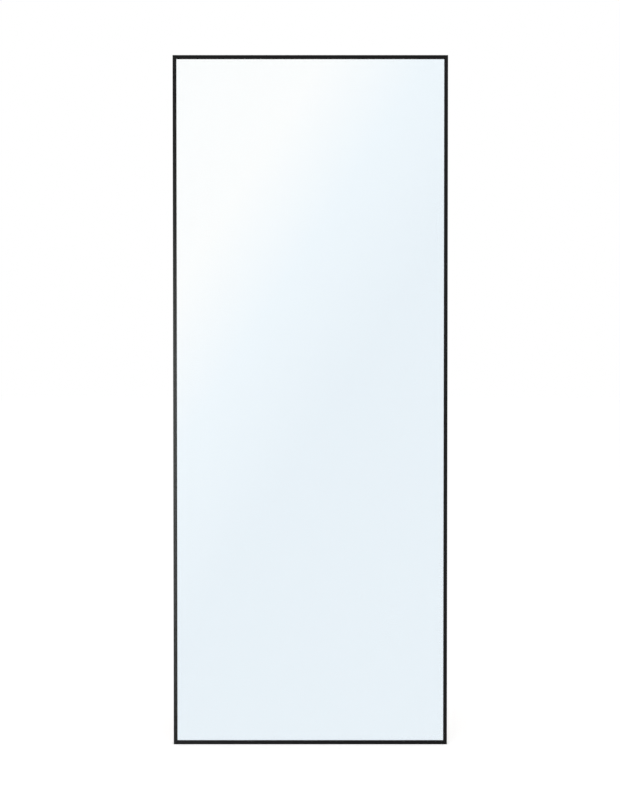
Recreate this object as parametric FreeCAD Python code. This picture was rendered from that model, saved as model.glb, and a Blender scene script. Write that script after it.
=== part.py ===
import FreeCAD, Part
import collections
import math
import os

# Full-length wall mirror in an extruded aluminium frame, in millimetres.
# The mirror faces -Y, +Z is up and the wall is the plane y = 0.
# The origin is the centre of the four wall-screw holes, on the wall.

# Overall size of the frame
overall_width = 780.0
overall_height = 1960.0

# Frame profile, with widths inward from the outer face and depths back from the front face
outer_wall = 1.8
front_lip_width = 10.0
front_lip_thickness = 1.8
profile_width = 18.0
web_thickness = 1.5
chamber_depth = 10.0
rear_flange_thickness = 1.8
return_lip_height = 2.0
return_lip_thickness = 1.5
front_edge_radius = 0.8
lip_edge_radius = 0.5
rear_edge_radius = 0.6
return_edge_radius = 0.4
mitre_gap = 0.1

# Glass pack and the rubber channel round its edge
glass_thickness = 4.0
glass_arris = 0.5
coating_thickness = 0.1
film_thickness = 0.2
board_thickness = 3.0
gasket_wall = 1.2
gasket_nose = 0.4
gasket_nose_radius = 0.35

# Corner keys and their countersunk screws
key_leg = 64.0
key_clearance = 0.15
key_end_radius = 2.0
key_screw_from_end = 20.0
key_screw_from_wall = 7.35
screw_diameter = 3.0
screw_head_diameter = 5.6
screw_head_height = 1.6
screw_tip_gap = 1.8
screw_clearance = 0.05
recess_width = 0.7
recess_span = 3.0
recess_depth = 1.1

# Rubber pads on the back
bumper_diameter = 12.0
bumper_height = 2.0
bumper_taper = 0.4
bumper_bevel = 0.5
bumper_from_corner = 110.0

# Wall brackets
bracket_spacing = 400.0
bracket_width = 50.0
bracket_thickness = 2.0
bracket_bend_radius = 2.0
bracket_bend_angle = 60.0
bracket_foot_radius = 8.0
bracket_tip_radius = 4.0
bracket_clearance = 1.0
tongue_clearance = 0.3
wall_hole_diameter = 5.5
wall_hole_spacing = 32.0
wall_hole_edge = 13.0

# How far a cutting tool runs past the face that it cuts
overrun = 1.0

# Widths and depths of the profile, worked out from the walls and the glass pack
gasket_reach = front_lip_width + gasket_nose
pack_edge = outer_wall + gasket_wall
chamber_mouth = profile_width - return_lip_thickness
glass_front = front_lip_thickness + gasket_wall
coating_front = glass_front + glass_thickness
film_front = coating_front + coating_thickness
board_front = film_front + film_thickness
board_back = board_front + board_thickness
groove_back = board_back + gasket_wall
chamber_front = groove_back + web_thickness
chamber_back = chamber_front + chamber_depth
frame_depth = chamber_back + rear_flange_thickness
front_plane = -(frame_depth + bumper_height)

# A corner screw goes through the rear flange and stops short of the web
key_screw_place = key_leg - key_screw_from_end
screw_line = outer_wall + key_screw_from_wall
screw_room = rear_flange_thickness + chamber_depth
screw_length = screw_room - screw_tip_gap

# A bracket cranks forward below the rear flange, and its tongue stands just inside the return lip
bend = math.radians(bracket_bend_angle)
outer_bend_radius = bracket_bend_radius + bracket_thickness
bend_shift = bracket_thickness / 2 * math.tan(bend / 2)
bend_reach = (bracket_bend_radius + bracket_thickness / 2) * math.tan(bend / 2)
bracket_foot = -(wall_hole_spacing / 2 + wall_hole_edge)
wall_bend = wall_hole_spacing / 2 + wall_hole_edge + bend_reach
tongue_back = front_plane + chamber_back - return_lip_height - tongue_clearance
tongue_front = tongue_back - bracket_thickness
tongue_bend = wall_bend - tongue_back / math.tan(bend)

# The top rail hangs with the inside of its outer wall on the tips of the tongues
top_height = tongue_bend + bend_reach + bracket_clearance + profile_width
bottom_height = top_height - overall_height
tongue_tip = top_height - outer_wall

origin = FreeCAD.Vector(0, 0, 0)
x_axis = FreeCAD.Vector(1, 0, 0)
y_axis = FreeCAD.Vector(0, 1, 0)
z_axis = FreeCAD.Vector(0, 0, 1)
full_turn = 360.0
quarter_turn = full_turn / 4
mitre_shift = mitre_gap * math.cos(math.radians(quarter_turn / 2))

# Turns x, y, z into y, z, x, so that a section drawn flat stands across the x axis
section_turn = FreeCAD.Rotation(x_axis + y_axis + z_axis, full_turn / 3)

# Each side of the mirror has axes of its own: x runs along the side from its first corner, y goes
# inward across the profile and z goes back. The sides follow each other clockwise, seen from the front.
Side = collections.namedtuple("Side", "first_corner x z length")
half_width = overall_width / 2
sides = {
    "top": Side("top_left", -half_width, top_height, overall_width),
    "right": Side("top_right", half_width, top_height, overall_height),
    "bottom": Side("bottom_right", half_width, bottom_height, overall_width),
    "left": Side("bottom_left", -half_width, bottom_height, overall_height),
}


def rounded_face(corners):
    """A flat face in the xy plane. Each corner is x, y and its radius, and a radius of 0 stays sharp."""
    points = [FreeCAD.Vector(x, y, 0) for x, y, radius in corners]
    bends = []
    for index, (x, y, radius) in enumerate(corners):
        here = points[index]
        back = (points[index - 1] - here).normalize()
        ahead = (points[(index + 1) % len(points)] - here).normalize()
        half_angle = back.getAngle(ahead) / 2
        reach = radius / math.tan(half_angle)
        inset = radius / math.sin(half_angle) - radius
        inward = (back + ahead).normalize()
        bends.append((here + back * reach, here + inward * inset, here + ahead * reach))
    edges = []
    for index, (start, middle, end) in enumerate(bends):
        if corners[index][2] > 0:
            edges.append(Part.Arc(start, middle, end).toShape())
        edges.append(Part.makeLine(end, bends[(index + 1) % len(bends)][0]))
    return Part.Face(Part.Wire(edges))


def turned(corners):
    """A solid of revolution about the z axis. Each corner is a radius, a height and its own rounding."""
    solid = rounded_face(corners).revolve(origin, y_axis, full_turn)
    return moved(solid, FreeCAD.Placement(origin, FreeCAD.Rotation(x_axis, quarter_turn)))


def moved(shape, placement):
    """A copy of a shape, carried by a placement."""
    copy = shape.copy()
    copy.transformShape(placement.toMatrix(), True)
    return copy


def shifted(shape, x, y, z):
    """A copy of a shape, moved without a turn."""
    return moved(shape, FreeCAD.Placement(FreeCAD.Vector(x, y, z), FreeCAD.Rotation()))


def on_side(shape, side):
    """Takes a shape from a side's own axes to its place on the mirror."""
    corner = FreeCAD.Vector(sides[side].x, front_plane, sides[side].z)
    turn = FreeCAD.Rotation(y_axis, list(sides).index(side) * quarter_turn)
    lay_back = FreeCAD.Rotation(x_axis, -quarter_turn)
    return moved(shape, FreeCAD.Placement(corner, turn * lay_back))


def mitred(section, length):
    """A bar of one section along a side, cut at 45 degrees at both ends with half the mitre gap."""
    across = moved(section, FreeCAD.Placement(origin, section_turn))
    bar = across.extrude(x_axis * length)
    outline = rounded_face([
        (mitre_shift, 0, 0),
        (length - mitre_shift, 0, 0),
        (length - mitre_shift - profile_width, profile_width, 0),
        (mitre_shift + profile_width, profile_width, 0),
    ])
    return bar.common(outline.extrude(z_axis * frame_depth)).Solids[0]


def countersunk(length, clearance):
    """A countersunk pin with its head's face at z = 0, grown by a clearance where it makes a hole."""
    radius = screw_diameter / 2 + clearance
    head_radius = screw_head_diameter / 2 + clearance
    return turned([
        (0, 0, 0),
        (0, -length, 0),
        (radius, -length, 0),
        (radius, -screw_head_height, 0),
        (head_radius, 0, 0),
    ])


def corner_screw():
    """A corner screw with its cross recess."""
    slot = Part.makeBox(recess_span, recess_width, recess_depth + overrun)
    slot = shifted(slot, -recess_span / 2, -recess_width / 2, -recess_depth)
    cross = moved(slot, FreeCAD.Placement(origin, FreeCAD.Rotation(z_axis, quarter_turn)))
    return countersunk(screw_length, 0).cut(slot.fuse(cross)).Solids[0]


def screw_hole():
    """The hole for a corner screw, open at the head's face and reaching back to the web."""
    mouth = Part.makeCylinder(screw_head_diameter / 2 + screw_clearance, overrun)
    return countersunk(screw_room, screw_clearance).fuse(mouth)


def at_screws(shape, length):
    """Copies of a shape at the two screws of a side."""
    places = [key_screw_place, length - key_screw_place]
    return [shifted(shape, place, screw_line, frame_depth) for place in places]


def rail_section():
    """The extruded profile: front lip, glazing groove, web, and a chamber open between return lips."""
    return rounded_face([
        (0, 0, front_edge_radius),
        (front_lip_width, 0, lip_edge_radius),
        (front_lip_width, front_lip_thickness, 0),
        (outer_wall, front_lip_thickness, 0),
        (outer_wall, groove_back, 0),
        (profile_width, groove_back, return_edge_radius),
        (profile_width, chamber_front + return_lip_height, return_edge_radius),
        (chamber_mouth, chamber_front + return_lip_height, return_edge_radius),
        (chamber_mouth, chamber_front, 0),
        (outer_wall, chamber_front, 0),
        (outer_wall, chamber_back, 0),
        (chamber_mouth, chamber_back, 0),
        (chamber_mouth, chamber_back - return_lip_height, return_edge_radius),
        (profile_width, chamber_back - return_lip_height, return_edge_radius),
        (profile_width, frame_depth, rear_edge_radius),
        (0, frame_depth, rear_edge_radius),
    ])


def gasket_section():
    """The rubber channel: a base against the outer wall and two legs that hold the glass pack."""
    return rounded_face([
        (outer_wall, front_lip_thickness, 0),
        (gasket_reach, front_lip_thickness, gasket_nose_radius),
        (gasket_reach, glass_front, gasket_nose_radius),
        (pack_edge, glass_front, 0),
        (pack_edge, board_back, 0),
        (gasket_reach, board_back, gasket_nose_radius),
        (gasket_reach, groove_back, gasket_nose_radius),
        (outer_wall, groove_back, 0),
    ])


def rail(side):
    """One mitred rail with its two countersunk holes in the rear flange."""
    length = sides[side].length
    bar = mitred(rail_section(), length)
    return on_side(bar.cut(at_screws(screw_hole(), length)).Solids[0], side)


def corner_key(side):
    """The L-shaped key of a side's first corner, seated on the rear flanges of both rails."""
    outside = outer_wall + key_clearance
    inside = chamber_mouth - key_clearance
    outline = rounded_face([
        (outside, outside, key_end_radius),
        (key_leg, outside, key_end_radius),
        (key_leg, inside, key_end_radius),
        (inside, inside, 0),
        (inside, key_leg, key_end_radius),
        (outside, key_leg, key_end_radius),
    ])
    thickness = chamber_depth - key_clearance
    body = shifted(outline.extrude(z_axis * thickness), 0, 0, chamber_back - thickness)
    hole = screw_hole()
    along = shifted(hole, key_screw_place, screw_line, frame_depth)
    across = shifted(hole, screw_line, key_screw_place, frame_depth)
    return on_side(body.cut([along, across]).Solids[0], side)


def side_screws(side):
    """The two corner screws of one rail."""
    return [on_side(screw, side) for screw in at_screws(corner_screw(), sides[side].length)]


def side_bumpers(side):
    """The two rubber pads of an upright rail, slightly tapered and bevelled at the wall."""
    foot = bumper_diameter / 2
    shoulder = foot - bumper_taper
    pad = turned([
        (0, 0, 0),
        (foot, 0, 0),
        (shoulder, bumper_height - bumper_bevel, 0),
        (shoulder - bumper_bevel, bumper_height, 0),
        (0, bumper_height, 0),
    ])
    places = [bumper_from_corner, sides[side].length - bumper_from_corner]
    return [on_side(shifted(pad, place, profile_width / 2, frame_depth), side) for place in places]


def pane(margin, front, thickness):
    """A flat rectangular layer of the glass pack, set in from the frame's outer faces by a margin."""
    width = overall_width - 2 * margin
    height = overall_height - 2 * margin
    layer = Part.makeBox(width, thickness, height)
    return shifted(layer, -width / 2, front_plane + front, bottom_height + margin)


def glass():
    """The mirror's glass, with its sharp edges seamed."""
    plate = pane(pack_edge, glass_front, glass_thickness)
    long_edges = [edge for edge in plate.Edges if edge.Length > glass_thickness]
    return plate.makeChamfer(glass_arris, long_edges).Solids[0]


def wall_bracket(x):
    """A cranked steel plate with two screw holes, whose tongue goes up into the top rail."""
    profile = rounded_face([
        (0, bracket_foot, 0),
        (0, wall_bend + bend_shift, outer_bend_radius),
        (tongue_back, tongue_bend + bend_shift, bracket_bend_radius),
        (tongue_back, tongue_tip, 0),
        (tongue_front, tongue_tip, 0),
        (tongue_front, tongue_bend - bend_shift, outer_bend_radius),
        (-bracket_thickness, wall_bend - bend_shift, bracket_bend_radius),
        (-bracket_thickness, bracket_foot, 0),
    ])
    across = moved(profile, FreeCAD.Placement(x_axis * (-bracket_width / 2), section_turn))
    strip = across.extrude(x_axis * bracket_width)
    half = bracket_width / 2
    outline = rounded_face([
        (-half, bracket_foot, bracket_foot_radius),
        (half, bracket_foot, bracket_foot_radius),
        (half, tongue_tip, bracket_tip_radius),
        (-half, tongue_tip, bracket_tip_radius),
    ])
    upright = moved(outline, FreeCAD.Placement(origin, FreeCAD.Rotation(x_axis, quarter_turn)))
    blank = strip.common(upright.extrude(y_axis * tongue_front))
    drill = Part.makeCylinder(
        wall_hole_diameter / 2, bracket_thickness + 2 * overrun, y_axis * overrun, -y_axis
    )
    heights = [-wall_hole_spacing / 2, wall_hole_spacing / 2]
    plate = blank.cut([shifted(drill, 0, 0, height) for height in heights])
    return shifted(plate.Solids[0], x, 0, 0)


def all_pieces():
    """Every piece by its node's name. A group of like pieces is a list."""
    pieces = {}
    for side, values in sides.items():
        pieces["rail_" + side] = [rail(side)]
        pieces["gasket_" + side] = [on_side(mitred(gasket_section(), values.length), side)]
        pieces["corner_key_" + values.first_corner] = [corner_key(side)]
    pieces["corner_screws"] = [screw for side in sides for screw in side_screws(side)]
    pieces["wall_bumpers"] = side_bumpers("left") + side_bumpers("right")
    pieces["mirror_glass"] = [glass()]
    pieces["silver_coating"] = [pane(pack_edge + glass_arris, coating_front, coating_thickness)]
    pieces["safety_film"] = [pane(pack_edge + glass_arris, film_front, film_thickness)]
    pieces["backing_board"] = [pane(pack_edge, board_front, board_thickness)]
    pieces["wall_bracket_left"] = [wall_bracket(-bracket_spacing / 2)]
    pieces["wall_bracket_right"] = [wall_bracket(bracket_spacing / 2)]
    return pieces


os.makedirs("parts", exist_ok=True)
for node, solids in all_pieces().items():
    shape = solids[0] if len(solids) == 1 else Part.makeCompound(solids)
    shape.exportStep("parts/" + node + ".step")
    print(node, len(solids), shape.isValid(), round(shape.Volume))
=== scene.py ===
import bpy
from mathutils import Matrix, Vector


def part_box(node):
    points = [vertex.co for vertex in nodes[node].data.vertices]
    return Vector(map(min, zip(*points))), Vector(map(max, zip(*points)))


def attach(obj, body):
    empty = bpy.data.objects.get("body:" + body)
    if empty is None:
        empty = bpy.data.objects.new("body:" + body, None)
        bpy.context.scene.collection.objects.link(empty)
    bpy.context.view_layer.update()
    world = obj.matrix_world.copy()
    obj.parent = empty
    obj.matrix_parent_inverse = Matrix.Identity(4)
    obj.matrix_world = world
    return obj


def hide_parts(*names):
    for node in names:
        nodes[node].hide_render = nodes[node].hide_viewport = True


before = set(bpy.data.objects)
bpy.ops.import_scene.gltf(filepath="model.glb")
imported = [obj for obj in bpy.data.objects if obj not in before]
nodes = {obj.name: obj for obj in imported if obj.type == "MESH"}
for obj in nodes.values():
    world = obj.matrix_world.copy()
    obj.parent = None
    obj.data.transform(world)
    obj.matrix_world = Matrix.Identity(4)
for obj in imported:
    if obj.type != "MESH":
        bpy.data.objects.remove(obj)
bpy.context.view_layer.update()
scene = bpy.context.scene
scene.view_settings.view_transform = "Standard"

# Lengths are in metres and powers in watts. Colours are in linear light, with alpha where a node asks for it.
white = (1.0, 1.0, 1.0, 1.0)

# Outline of the mirror's frame, read from its rails
frame_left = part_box("rail_left")[0].x
frame_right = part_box("rail_right")[1].x
frame_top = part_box("rail_top")[1].z
frame_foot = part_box("rail_bottom")[0].z
frame_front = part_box("rail_top")[0].y
frame_middle = Vector(((frame_left + frame_right) / 2, frame_front, (frame_top + frame_foot) / 2))

# Camera: its lens in millimetres, its place before and above its aim, and its aim off the frame's middle
camera_lens = 79.18
camera_distance = 5.0
camera_rise = 0.116
aim_aside = -0.0009
aim_up = 0.0036

# Silver layer: its gap to the glass, and how far the paint laps round its edge
silver_gap = 0.00002
paint_lap = 0.0015

# Floor, and the plain light that comes from all round
floor_size = 90.0
floor_paint = (0.8, 0.8, 0.8, 1.0)
floor_glow = 0.45
plain_light = 0.7

# Lamps, placed and aimed from the frame's middle, with their widths and heights
left_lamp_place = Vector((-0.7, -3.0, -0.46))
left_lamp_aim = Vector((-0.39, 0.0, -0.16))
left_lamp_size = (0.3, 1.9)
left_lamp_power = 56.0
left_lamp_tint = (0.93, 1.0, 1.0)
top_lamp_place = Vector((-0.15, -1.2, 2.6))
top_lamp_aim = Vector((0.0, 0.0, 0.0))
top_lamp_size = (2.4, 2.4)
top_lamp_power = 30.0
top_lamp_tint = (1.0, 1.0, 1.0)

# Soft screens that the mirror reflects, one beside the next across a slanting direction: how far they are
# shifted, half the step from one screen's middle to the next, and the tints of a screen's bright middle, its
# soft edge and the surroundings, each with its distance from the middle
screen_slant = (0.8415, 0.0, -0.5402)
screen_shift = 0.165
screen_turn = 0.39
screen_tints = (
    (0.08, (1.19, 1.11, 1.05, 1.0)),
    (0.13, (1.06, 1.05, 1.04, 1.0)),
    (0.19, (1.0, 1.0, 1.0, 1.0)),
)

# Below the screens the studio falls off to a cooler tint, from one height of a ray's direction to another
fall_start = -0.235
fall_end = -1.0
fall_tint = (0.79, 0.86, 0.905, 1.0)

# Sockets of the node that blends colours
blend_share_socket = 0
blend_first_socket = 6
blend_second_socket = 7
blend_result_socket = 2


def place_node(tree, kind, inputs=None, **settings):
    """A node with its settings, and its inputs given as plain values or linked from other nodes' outputs"""
    node = tree.nodes.new(kind)
    for name, value in settings.items():
        setattr(node, name, value)
    for name, value in (inputs or {}).items():
        if isinstance(value, bpy.types.NodeSocket):
            tree.links.new(value, node.inputs[name])
        else:
            node.inputs[name].default_value = value
    return node


def blend_colour(tree, share, first, second):
    """From the first colour to the second by a share"""
    inputs = {blend_share_socket: share, blend_first_socket: first, blend_second_socket: second}
    return place_node(tree, "ShaderNodeMix", inputs, data_type="RGBA").outputs[blend_result_socket]


def spread_value(tree, value, low, high, start=0.0, end=1.0):
    """A value that goes from start to end, spread over low to high"""
    inputs = {"Value": value, "From Min": start, "From Max": end, "To Min": low, "To Max": high}
    return place_node(tree, "ShaderNodeMapRange", inputs).outputs["Result"]


def work_out(tree, operation, first, second):
    """Arithmetic on two values"""
    return place_node(tree, "ShaderNodeMath", {0: first, 1: second}, operation=operation).outputs["Value"]


def add_shares(tree, first, first_share, second, second_share):
    """The sum of two values, each times its share"""
    first_part = work_out(tree, "MULTIPLY", first, first_share)
    second_part = work_out(tree, "MULTIPLY", second, second_share)
    return work_out(tree, "ADD", first_part, second_part)


def new_group(name, inputs, output):
    """An empty shader node group with its sockets"""
    group = bpy.data.node_groups.new(name, "ShaderNodeTree")
    for label, kind in inputs.items():
        group.interface.new_socket(label, in_out="INPUT", socket_type=kind)
    group.interface.new_socket(output, in_out="OUTPUT", socket_type="NodeSocketFloat")
    start = group.nodes.new("NodeGroupInput")
    end = group.nodes.new("NodeGroupOutput")
    return group, start, end


def drawn_lines_group():
    """Fine long lines that a die or a pair of rolls leaves on metal and rubber"""
    sockets = {"Place": "NodeSocketVector", "Stretch": "NodeSocketVector"}
    group, start, end = new_group("drawn_lines", sockets, "Lines")
    inputs = {0: start.outputs["Place"], 1: start.outputs["Stretch"]}
    stretched = place_node(group, "ShaderNodeVectorMath", inputs, operation="MULTIPLY")
    inputs = {"Vector": stretched.outputs["Vector"], "Scale": 1.0, "Detail": 3.0, "Roughness": 0.6}
    noise = place_node(group, "ShaderNodeTexNoise", inputs)
    lines = spread_value(group, noise.outputs["Fac"], low=0.0, high=1.0, start=0.3, end=0.7)
    group.links.new(lines, end.inputs["Lines"])
    return group


def grain_group():
    """Even fine grain, as of etched metal or moulded rubber"""
    sockets = {"Place": "NodeSocketVector", "Fineness": "NodeSocketFloat"}
    group, start, end = new_group("grain", sockets, "Grain")
    inputs = {
        "Vector": start.outputs["Place"],
        "Scale": start.outputs["Fineness"],
        "Detail": 2.0,
        "Roughness": 0.55,
    }
    noise = place_node(group, "ShaderNodeTexNoise", inputs)
    grain = spread_value(group, noise.outputs["Fac"], low=0.0, high=1.0, start=0.28, end=0.72)
    group.links.new(grain, end.inputs["Grain"])
    return group


def clouding_group():
    """Broad soft changes of tone"""
    sockets = {"Place": "NodeSocketVector", "Fineness": "NodeSocketFloat"}
    group, start, end = new_group("clouding", sockets, "Cloud")
    inputs = {
        "Vector": start.outputs["Place"],
        "Scale": start.outputs["Fineness"],
        "Detail": 4.0,
        "Roughness": 0.5,
        "Distortion": 0.4,
    }
    noise = place_node(group, "ShaderNodeTexNoise", inputs)
    cloud = spread_value(group, noise.outputs["Fac"], low=0.0, high=1.0, start=0.3, end=0.7)
    group.links.new(cloud, end.inputs["Cloud"])
    return group


def edge_rub_group():
    """Where a surface turns from one flat to another, which handling rubs first"""
    group, start, end = new_group("edge_rub", {"Facing": "NodeSocketVector"}, "Rub")
    sizes = place_node(group, "ShaderNodeVectorMath", {0: start.outputs["Facing"]}, operation="ABSOLUTE")
    parts = place_node(group, "ShaderNodeSeparateXYZ", {"Vector": sizes.outputs["Vector"]})
    wide = work_out(group, "MAXIMUM", parts.outputs["X"], parts.outputs["Y"])
    most = work_out(group, "MAXIMUM", wide, parts.outputs["Z"])
    rub = spread_value(group, most, low=0.0, high=1.0, start=0.98, end=0.75)
    group.links.new(rub, end.inputs["Rub"])
    return group


def fibre_group():
    """Slivers of wood fibre that lie one way in the board's plane, a little bent"""
    bend_reach = (0.008, 0.0, 0.008)
    drawn_out = (1.0, 1.0, 0.14)
    sockets = {"Place": "NodeSocketVector", "Turn": "NodeSocketFloat", "Fineness": "NodeSocketFloat"}
    group, start, end = new_group("fibre", sockets, "Fibre")
    inputs = {"Vector": start.outputs["Place"], "Scale": 60.0, "Detail": 1.0}
    bend = place_node(group, "ShaderNodeTexNoise", inputs)
    inputs = {0: bend.outputs["Color"], 1: bend_reach, 2: start.outputs["Place"]}
    bent = place_node(group, "ShaderNodeVectorMath", inputs, operation="MULTIPLY_ADD")
    inputs = {"Vector": bent.outputs["Vector"], "Angle": start.outputs["Turn"]}
    turned = place_node(group, "ShaderNodeVectorRotate", inputs, rotation_type="Y_AXIS")
    inputs = {0: turned.outputs["Vector"], 1: drawn_out}
    drawn = place_node(group, "ShaderNodeVectorMath", inputs, operation="MULTIPLY")
    inputs = {"Vector": drawn.outputs["Vector"], "Scale": start.outputs["Fineness"], "Detail": 2.0}
    noise = place_node(group, "ShaderNodeTexNoise", inputs)
    fibre = spread_value(group, noise.outputs["Fac"], low=0.0, high=1.0, start=0.57, end=0.74)
    group.links.new(fibre, end.inputs["Fibre"])
    return group


drawn_lines = drawn_lines_group()
grain = grain_group()
clouding = clouding_group()
edge_rub = edge_rub_group()
fibre = fibre_group()


def new_finish(name):
    """A material with its Principled shader and the coordinates that its pattern reads"""
    material = bpy.data.materials.new(name)
    material.use_nodes = True
    tree = material.node_tree
    tree.nodes.clear()
    surface = place_node(tree, "ShaderNodeBsdfPrincipled")
    place_node(tree, "ShaderNodeOutputMaterial", {"Surface": surface.outputs["BSDF"]})
    place = place_node(tree, "ShaderNodeTexCoord")
    return material, tree, surface, place


def use_group(tree, group, **inputs):
    """The output of a shader node group placed in a material"""
    return place_node(tree, "ShaderNodeGroup", inputs, node_tree=group).outputs[0]


def raise_surface(tree, surface, height, strength, depth):
    """A bump from a height"""
    inputs = {"Height": height, "Strength": strength, "Distance": depth}
    bump = place_node(tree, "ShaderNodeBump", inputs)
    tree.links.new(bump.outputs["Normal"], surface.inputs["Normal"])


def satin_black_anodised(name, run, shine):
    """Dyed and sealed aluminium, with faint die lines along the rail and paler rubbed edges"""
    deep_dye = (0.0023, 0.0023, 0.0026, 1.0)
    pale_dye = (0.0043, 0.0043, 0.0047, 1.0)
    rubbed = (0.034, 0.034, 0.036, 1.0)
    tone_share = 0.55
    etch_share = 0.45
    etch_roughness = 0.05
    line_height = 0.7
    etch_height = 0.3
    material, tree, surface, place = new_finish(name)
    spot = place.outputs["Object"]
    lines = use_group(tree, drawn_lines, Place=spot, Stretch=run)
    etch = use_group(tree, grain, Place=spot, Fineness=2600.0)
    tone = use_group(tree, clouding, Place=spot, Fineness=3.2)
    rub = use_group(tree, edge_rub, Facing=place.outputs["Normal"])
    shade = add_shares(tree, tone, tone_share, etch, etch_share)
    dye = blend_colour(tree, shade, deep_dye, pale_dye)
    worn = work_out(tree, "MULTIPLY", rub, spread_value(tree, etch, low=0.15, high=0.5))
    tree.links.new(blend_colour(tree, worn, dye, rubbed), surface.inputs["Base Color"])
    line_roughness = spread_value(tree, lines, low=0.23, high=0.39)
    rough = work_out(tree, "ADD", line_roughness, work_out(tree, "MULTIPLY", etch, etch_roughness))
    tree.links.new(rough, surface.inputs["Roughness"])
    surface.inputs["Specular IOR Level"].default_value = shine
    height = add_shares(tree, lines, line_height, etch, etch_height)
    raise_surface(tree, surface, height, strength=0.32, depth=0.00005)
    return material


def matt_rubber(name, dark, pale, fineness):
    """Moulded or extruded rubber with a fine matt skin and a little bloom"""
    skin_share = 0.4
    bloom_share = 0.6
    material, tree, surface, place = new_finish(name)
    spot = place.outputs["Object"]
    skin = use_group(tree, grain, Place=spot, Fineness=fineness)
    bloom = use_group(tree, clouding, Place=spot, Fineness=60.0)
    shade = add_shares(tree, skin, skin_share, bloom, bloom_share)
    tree.links.new(blend_colour(tree, shade, dark, pale), surface.inputs["Base Color"])
    tree.links.new(spread_value(tree, shade, low=0.74, high=0.92), surface.inputs["Roughness"])
    surface.inputs["Specular IOR Level"].default_value = 0.16
    raise_surface(tree, surface, skin, strength=0.35, depth=0.00006)
    return material


def clear_float_glass():
    """Clear glass with a faint cool tint, and the greener rim of a cut pane"""
    faint_tint = (0.935, 0.966, 0.979, 1.0)
    rim_tint = (0.62, 0.86, 0.80, 1.0)
    material, tree, surface, place = new_finish("clear_float_glass")
    rim = use_group(tree, edge_rub, Facing=place.outputs["Normal"])
    tree.links.new(blend_colour(tree, rim, faint_tint, rim_tint), surface.inputs["Base Color"])
    surface.inputs["Roughness"].default_value = 0.0
    surface.inputs["IOR"].default_value = 1.52
    surface.inputs["Transmission Weight"].default_value = 1.0
    return material


def bright_silver():
    """The silver that reflects, with the slightest change of tone"""
    dim_silver = (0.925, 0.952, 0.984, 1.0)
    full_silver = (0.929, 0.956, 0.988, 1.0)
    material, tree, surface, place = new_finish("bright_silver")
    tone = use_group(tree, clouding, Place=place.outputs["Object"], Fineness=1.4)
    tree.links.new(blend_colour(tree, tone, dim_silver, full_silver), surface.inputs["Base Color"])
    surface.inputs["Metallic"].default_value = 1.0
    surface.inputs["Roughness"].default_value = 0.0
    return material


def backing_paint():
    """Grey protective paint behind the silver, a little rippled"""
    dark_grey = (0.21, 0.22, 0.23, 1.0)
    pale_grey = (0.27, 0.28, 0.29, 1.0)
    material, tree, surface, place = new_finish("backing_paint")
    spot = place.outputs["Object"]
    ripple = use_group(tree, clouding, Place=spot, Fineness=90.0)
    speck = use_group(tree, grain, Place=spot, Fineness=1400.0)
    shade = work_out(tree, "MULTIPLY", ripple, speck)
    tree.links.new(blend_colour(tree, shade, dark_grey, pale_grey), surface.inputs["Base Color"])
    tree.links.new(spread_value(tree, ripple, low=0.42, high=0.56), surface.inputs["Roughness"])
    raise_surface(tree, surface, ripple, strength=0.2, depth=0.0001)
    return material


def shatter_film():
    """Pale plastic film, pulled tight along the roll"""
    along_roll = (240.0, 240.0, 5.0)
    dim_film = (0.70, 0.71, 0.71, 1.0)
    pale_film = (0.78, 0.79, 0.79, 1.0)
    material, tree, surface, place = new_finish("shatter_film")
    spot = place.outputs["Object"]
    pull = use_group(tree, drawn_lines, Place=spot, Stretch=along_roll)
    tone = use_group(tree, clouding, Place=spot, Fineness=7.0)
    shade = work_out(tree, "MULTIPLY", pull, tone)
    tree.links.new(blend_colour(tree, shade, dim_film, pale_film), surface.inputs["Base Color"])
    tree.links.new(spread_value(tree, pull, low=0.32, high=0.46), surface.inputs["Roughness"])
    raise_surface(tree, surface, pull, strength=0.15, depth=0.00005)
    return material


def pressed_hardboard():
    """Brown pressed fibre, with dark and pale slivers that lie every way in its smooth face"""
    dark_brown = (0.158, 0.084, 0.040, 1.0)
    mid_brown = (0.268, 0.151, 0.077, 1.0)
    felt_share = 0.72
    tone_share = 0.28
    # The slivers that lie each way: their turn in radians, fineness, strength and colour
    ways = (
        (0.35, 820.0, 0.60, (0.088, 0.044, 0.021, 1.0)),
        (1.15, 1000.0, 0.50, (0.375, 0.238, 0.132, 1.0)),
        (1.90, 920.0, 0.55, (0.100, 0.051, 0.025, 1.0)),
        (2.70, 1120.0, 0.45, (0.350, 0.215, 0.116, 1.0)),
    )
    material, tree, surface, place = new_finish("pressed_hardboard")
    spot = place.outputs["Object"]
    felt = use_group(tree, grain, Place=spot, Fineness=520.0)
    tone = use_group(tree, clouding, Place=spot, Fineness=5.5)
    shade = add_shares(tree, felt, felt_share, tone, tone_share)
    board = blend_colour(tree, shade, dark_brown, mid_brown)
    height = felt
    for turn, fineness, strength, colour in ways:
        slivers = use_group(tree, fibre, Place=spot, Turn=turn, Fineness=fineness)
        share = work_out(tree, "MULTIPLY", slivers, strength)
        board = blend_colour(tree, share, board, colour)
        height = work_out(tree, "ADD", height, share)
    tree.links.new(board, surface.inputs["Base Color"])
    tree.links.new(spread_value(tree, felt, low=0.48, high=0.66), surface.inputs["Roughness"])
    surface.inputs["Specular IOR Level"].default_value = 0.3
    raise_surface(tree, surface, height, strength=0.3, depth=0.0001)
    return material


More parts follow.
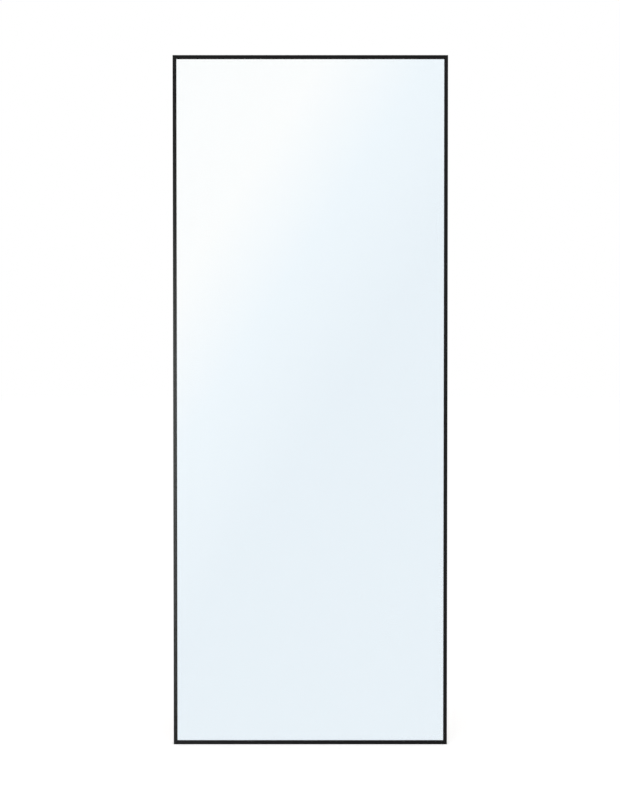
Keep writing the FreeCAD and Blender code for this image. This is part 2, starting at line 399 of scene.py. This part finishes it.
def zinc_plate(name, fineness, run, bright):
    """Zinc plating with a clear cool passivation, rolled or turned lines under it"""
    cool = (0.50 * bright, 0.525 * bright, 0.56 * bright, 1.0)
    warm = (0.60 * bright, 0.595 * bright, 0.57 * bright, 1.0)
    dull = (0.40 * bright, 0.41 * bright, 0.43 * bright, 1.0)
    rubbed = (0.74, 0.74, 0.74, 1.0)
    line_share = 0.35
    rub_share = 0.5
    line_roughness = 0.16
    material, tree, surface, place = new_finish(name)
    spot = place.outputs["Object"]
    tone = use_group(tree, clouding, Place=spot, Fineness=fineness)
    lines = use_group(tree, drawn_lines, Place=spot, Stretch=run)
    rub = use_group(tree, edge_rub, Facing=place.outputs["Normal"])
    plate = blend_colour(tree, tone, cool, warm)
    plate = blend_colour(tree, work_out(tree, "MULTIPLY", lines, line_share), plate, dull)
    plate = blend_colour(tree, work_out(tree, "MULTIPLY", rub, rub_share), plate, rubbed)
    tree.links.new(plate, surface.inputs["Base Color"])
    surface.inputs["Metallic"].default_value = 1.0
    tone_roughness = spread_value(tree, tone, low=0.24, high=0.34)
    rough = work_out(tree, "ADD", tone_roughness, work_out(tree, "MULTIPLY", lines, line_roughness))
    tree.links.new(rough, surface.inputs["Roughness"])
    raise_surface(tree, surface, lines, strength=0.28, depth=0.00004)
    return material


def cast_key_metal():
    """Plain cast aluminium, dull and pebbled"""
    dull = (0.47, 0.47, 0.475, 1.0)
    pale = (0.62, 0.62, 0.625, 1.0)
    rubbed = (0.78, 0.78, 0.78, 1.0)
    pebble_share = 0.5
    tone_share = 0.5
    rub_share = 0.4
    material, tree, surface, place = new_finish("cast_key_metal")
    spot = place.outputs["Object"]
    pebble = use_group(tree, grain, Place=spot, Fineness=900.0)
    tone = use_group(tree, clouding, Place=spot, Fineness=45.0)
    rub = use_group(tree, edge_rub, Facing=place.outputs["Normal"])
    shade = add_shares(tree, pebble, pebble_share, tone, tone_share)
    metal = blend_colour(tree, shade, dull, pale)
    metal = blend_colour(tree, work_out(tree, "MULTIPLY", rub, rub_share), metal, rubbed)
    tree.links.new(metal, surface.inputs["Base Color"])
    surface.inputs["Metallic"].default_value = 1.0
    tree.links.new(spread_value(tree, shade, low=0.42, high=0.6), surface.inputs["Roughness"])
    raise_surface(tree, surface, pebble, strength=0.3, depth=0.0001)
    return material


def finish_node(material, *names):
    """Gives CAD nodes their material"""
    for name in names:
        nodes[name].material_slots[0].material = material


def finish_rails():
    """Satin black rails, with die lines along each rail and a little less shine on the level ones"""
    upright_lines = (2400.0, 2400.0, 6.0)
    level_lines = (6.0, 2400.0, 2400.0)
    upright = satin_black_anodised("satin_black_upright", upright_lines, shine=0.115)
    level = satin_black_anodised("satin_black_level", level_lines, shine=0.09)
    finish_node(upright, "rail_left", "rail_right")
    finish_node(level, "rail_top", "rail_bottom")


def finish_rubber():
    """Black rubber round the glass pack and grey rubber at the wall"""
    deep_black = (0.009, 0.009, 0.0095, 1.0)
    pale_black = (0.017, 0.017, 0.018, 1.0)
    dark_grey = (0.036, 0.036, 0.038, 1.0)
    pale_grey = (0.062, 0.062, 0.064, 1.0)
    black_rubber = matt_rubber("gasket_rubber", deep_black, pale_black, fineness=1600.0)
    grey_rubber = matt_rubber("bumper_rubber", dark_grey, pale_grey, fineness=1100.0)
    finish_node(black_rubber, "gasket_top", "gasket_bottom", "gasket_left", "gasket_right")
    finish_node(grey_rubber, "wall_bumpers")


def finish_metal():
    """Zinc on the brackets and screws, and plain cast keys"""
    sheet_lines = (1800.0, 1800.0, 40.0)
    screw_lines = (1500.0, 1500.0, 1500.0)
    sheet = zinc_plate("zinc_sheet", fineness=38.0, run=sheet_lines, bright=1.0)
    screw = zinc_plate("zinc_screw", fineness=220.0, run=screw_lines, bright=0.88)
    finish_node(sheet, "wall_bracket_left", "wall_bracket_right")
    finish_node(screw, "corner_screws")
    keys = ["corner_key_" + corner for corner in ("top_left", "top_right", "bottom_right", "bottom_left")]
    finish_node(cast_key_metal(), *keys)


def finish_glass_pack():
    """Glass, film and board"""
    finish_node(clear_float_glass(), "mirror_glass")
    finish_node(shatter_film(), "safety_film")
    finish_node(pressed_hardboard(), "backing_board")


def silver_layer():
    """The silver, with its paint behind and lapped round its edge, set off the glass by a hair so that
    the two faces don't coincide"""
    silver_index = 0
    paint_index = 1
    front_facing = -0.5
    low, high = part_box("silver_coating")
    front = low.y + silver_gap
    middle = ((low.x + high.x) / 2, (front + high.y) / 2, (low.z + high.z) / 2)
    bpy.ops.object.select_all(action="DESELECT")
    bpy.ops.mesh.primitive_cube_add(size=1.0, location=middle)
    layer = bpy.context.active_object
    layer.name = "silver_layer"
    layer.scale = (high.x - low.x, high.y - front, high.z - low.z)
    bpy.ops.object.transform_apply(location=True, rotation=True, scale=True)
    bpy.ops.object.mode_set(mode="EDIT")
    bpy.ops.mesh.select_mode(type="FACE")
    bpy.ops.mesh.select_all(action="DESELECT")
    bpy.ops.object.mode_set(mode="OBJECT")
    for face in layer.data.polygons:
        face.select = face.normal.y < front_facing
    bpy.ops.object.mode_set(mode="EDIT")
    bpy.ops.mesh.inset(thickness=paint_lap, depth=0.0)
    bpy.ops.object.mode_set(mode="OBJECT")
    layer.data.materials.append(bright_silver())
    layer.data.materials.append(backing_paint())
    for face in layer.data.polygons:
        face.material_index = silver_index if face.select else paint_index
    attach(layer, "mirror")
    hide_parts("silver_coating")


def shiny_ray(tree, path):
    """One for a ray that a surface has mirrored or let through, and nought for any other"""
    return work_out(tree, "MAXIMUM", path.outputs["Is Glossy Ray"], path.outputs["Is Transmission Ray"])


def studio_floor():
    """A plain pale floor that mirrors and glass look through to the studio"""
    bpy.ops.object.select_all(action="DESELECT")
    bpy.ops.mesh.primitive_plane_add(size=floor_size, location=(0.0, 0.0, frame_foot))
    floor = bpy.context.active_object
    floor.name = "studio_floor"
    material = bpy.data.materials.new("pale_floor")
    material.use_nodes = True
    tree = material.node_tree
    tree.nodes.clear()
    path = place_node(tree, "ShaderNodeLightPath")
    paint = place_node(tree, "ShaderNodeBsdfDiffuse", {"Color": floor_paint})
    glow_strength = work_out(tree, "MULTIPLY", path.outputs["Is Camera Ray"], floor_glow)
    glow = place_node(tree, "ShaderNodeEmission", {"Color": white, "Strength": glow_strength})
    lit = place_node(tree, "ShaderNodeAddShader", {0: paint.outputs["BSDF"], 1: glow.outputs["Emission"]})
    clear = place_node(tree, "ShaderNodeBsdfTransparent")
    inputs = {0: shiny_ray(tree, path), 1: lit.outputs["Shader"], 2: clear.outputs["BSDF"]}
    look = place_node(tree, "ShaderNodeMixShader", inputs)
    place_node(tree, "ShaderNodeOutputMaterial", {"Surface": look.outputs["Shader"]})
    floor.data.materials.append(material)


def screen_light(tree, direction):
    """The tint of the studio in a direction, from the slanting screens and the fall-off below them"""
    inputs = {0: direction, 1: screen_slant}
    across = place_node(tree, "ShaderNodeVectorMath", inputs, operation="DOT_PRODUCT").outputs["Value"]
    aside = work_out(tree, "PINGPONG", work_out(tree, "ADD", across, screen_shift), screen_turn)
    share = spread_value(tree, aside, low=0.0, high=1.0, start=0.0, end=screen_turn)
    screen = place_node(tree, "ShaderNodeValToRGB", {"Fac": share})
    stops = screen.color_ramp.elements
    while len(stops) < len(screen_tints):
        stops.new(position=1.0)
    for stop, (distance, tint) in zip(stops, screen_tints):
        stop.position = distance / screen_turn
        stop.color = tint
    height = place_node(tree, "ShaderNodeSeparateXYZ", {"Vector": direction}).outputs["Z"]
    fall = spread_value(tree, height, low=0.0, high=1.0, start=fall_start, end=fall_end)
    return blend_colour(tree, fall, screen.outputs["Color"], fall_tint)


def studio_world():
    """White behind the mirror, even light on it, and slanting soft bright screens for it to reflect"""
    world = bpy.data.worlds.new("studio")
    scene.world = world
    world.use_nodes = True
    tree = world.node_tree
    tree.nodes.clear()
    direction = place_node(tree, "ShaderNodeTexCoord").outputs["Generated"]
    surroundings = screen_light(tree, direction)
    seen = place_node(tree, "ShaderNodeBackground", {"Color": white, "Strength": 1.0})
    mirrored = place_node(tree, "ShaderNodeBackground", {"Color": surroundings, "Strength": 1.0})
    light = place_node(tree, "ShaderNodeBackground", {"Color": white, "Strength": plain_light})
    path = place_node(tree, "ShaderNodeLightPath")
    inputs = {0: shiny_ray(tree, path), 1: light.outputs["Background"], 2: mirrored.outputs["Background"]}
    unseen = place_node(tree, "ShaderNodeMixShader", inputs)
    inputs = {0: path.outputs["Is Camera Ray"], 1: unseen.outputs["Shader"], 2: seen.outputs["Background"]}
    look = place_node(tree, "ShaderNodeMixShader", inputs)
    place_node(tree, "ShaderNodeOutputWorld", {"Surface": look.outputs["Shader"]})


def look_along(thing, way):
    """Turns a lamp or a camera to look along a way"""
    thing.rotation_euler = way.to_track_quat("-Z", "Y").to_euler()


def soft_lamp(name, place, aim, size, power, tint):
    """A rectangular soft lamp, placed and aimed from the frame's middle"""
    data = bpy.data.lights.new(name, "AREA")
    data.shape = "RECTANGLE"
    data.size, data.size_y = size
    data.energy = power
    data.color = tint
    lamp = bpy.data.objects.new(name, data)
    scene.collection.objects.link(lamp)
    lamp.location = frame_middle + place
    look_along(lamp, frame_middle + aim - lamp.location)
    return lamp


def studio_lamps():
    """A tall soft lamp before the left edge, for the rails alone so that the glass doesn't show it, and a
    broad one above"""
    left_lamp = soft_lamp(
        "left_lamp", left_lamp_place, left_lamp_aim, left_lamp_size, left_lamp_power, left_lamp_tint
    )
    lit_rails = bpy.data.collections.new("lit_rails")
    for name in ("rail_left", "rail_right", "rail_top", "rail_bottom"):
        lit_rails.objects.link(nodes[name])
    left_lamp.light_linking.receiver_collection = lit_rails
    soft_lamp("top_lamp", top_lamp_place, top_lamp_aim, top_lamp_size, top_lamp_power, top_lamp_tint)


def photo_camera():
    """Square on, a little above the mirror's middle and tipped down to it"""
    data = bpy.data.cameras.new("photo_camera")
    data.lens = camera_lens
    camera = bpy.data.objects.new("photo_camera", data)
    scene.collection.objects.link(camera)
    aim = frame_middle + Vector((aim_aside, 0.0, aim_up))
    camera.location = aim + Vector((0.0, -camera_distance, camera_rise))
    look_along(camera, aim - camera.location)
    scene.camera = camera


finish_rails()
finish_rubber()
finish_metal()
finish_glass_pack()
silver_layer()
studio_floor()
studio_world()
studio_lamps()
photo_camera()
